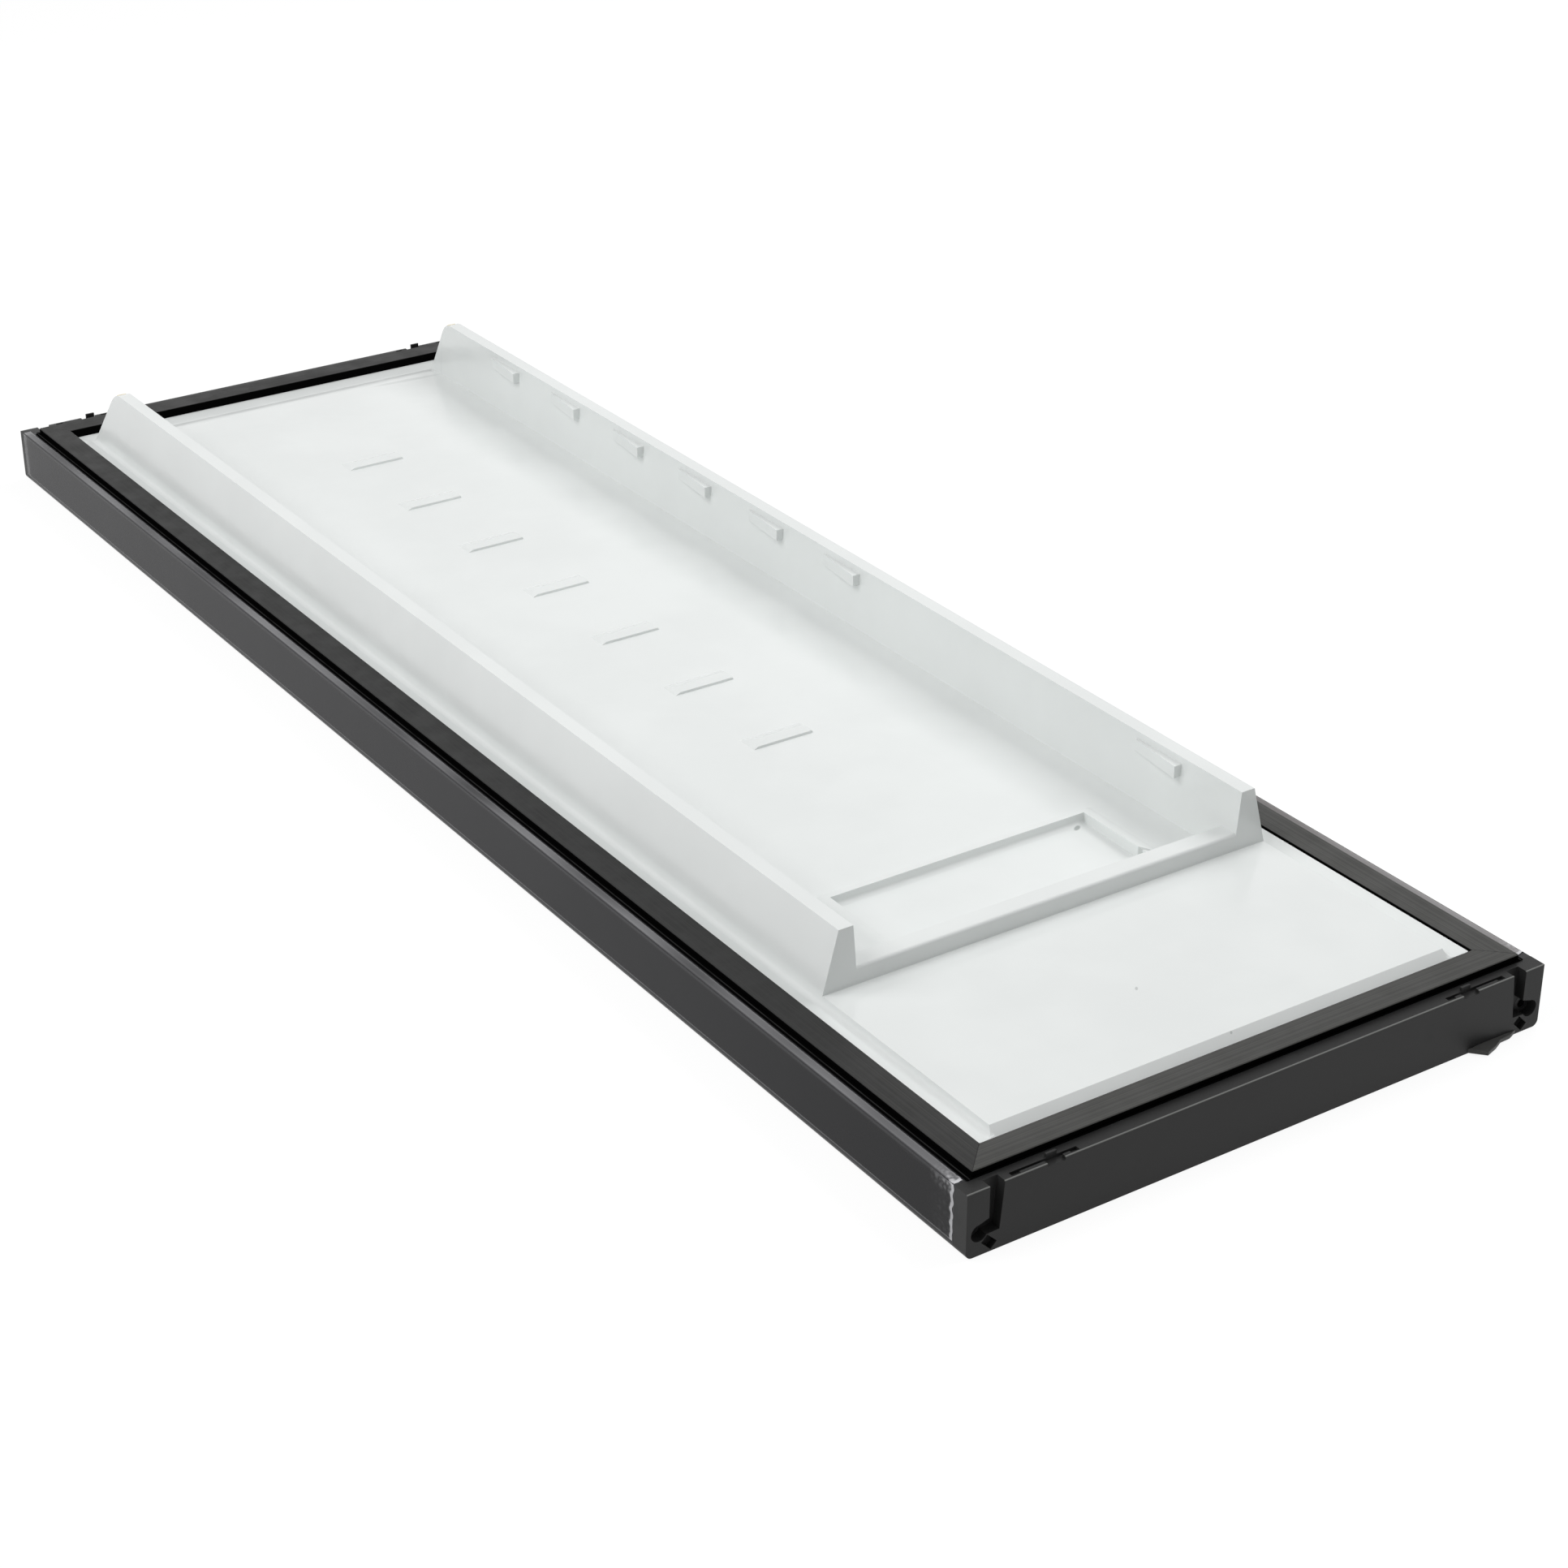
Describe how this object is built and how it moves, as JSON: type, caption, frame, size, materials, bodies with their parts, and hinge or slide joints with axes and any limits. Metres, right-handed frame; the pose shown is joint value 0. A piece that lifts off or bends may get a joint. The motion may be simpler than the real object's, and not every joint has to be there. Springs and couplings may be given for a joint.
{
  "type": "refrigerator door",
  "caption": "Refrigerator door lying on its outer face: steel panel, moulded end caps, ribbed inner liner and magnetic gasket.",
  "frame": {"origin": "middle of the outer face that the door lies on", "axes": "+X across the door to its right seen from inside with the top away, +Y along the door towards its top end, +Z from the outer face to the inner side"},
  "size_m": [0.5972, 1.8628, 0.124],
  "materials": {
    "panel_steel": "satin dark grey",
    "cap_plastic": "fine-grained dark grey",
    "stop_plastic": "satin dark grey",
    "bush_plastic": "natural nylon",
    "plate_steel": "zinc plated",
    "liner_plastic": "glossy white",
    "foam": "rigid cream foam",
    "gasket_rubber": "soft dark grey",
    "magnet": "dark brown bonded magnet",
    "film": "clear peelable film"
  },
  "bodies": {
    "root": {"outer_panel": "panel_steel", "bottom_end_cap": "cap_plastic", "top_end_cap": "cap_plastic", "door_stop": "stop_plastic", "hinge_bush_bottom_left": "bush_plastic", "hinge_bush_bottom_right": "bush_plastic", "hinge_bush_top_left": "bush_plastic", "hinge_bush_top_right": "bush_plastic", "hinge_plate_bottom_left": "plate_steel", "hinge_plate_bottom_right": "plate_steel", "hinge_plate_top_left": "plate_steel", "hinge_plate_top_right": "plate_steel", "inner_liner": "liner_plastic", "foam_core": "foam", "gasket": "gasket_rubber", "magnet_strip_left": "magnet", "magnet_strip_right": "magnet", "magnet_strip_bottom": "magnet", "magnet_strip_top": "magnet", "protective_film_left": "film", "protective_film_right": "film"}
  },
  "joints": []
}
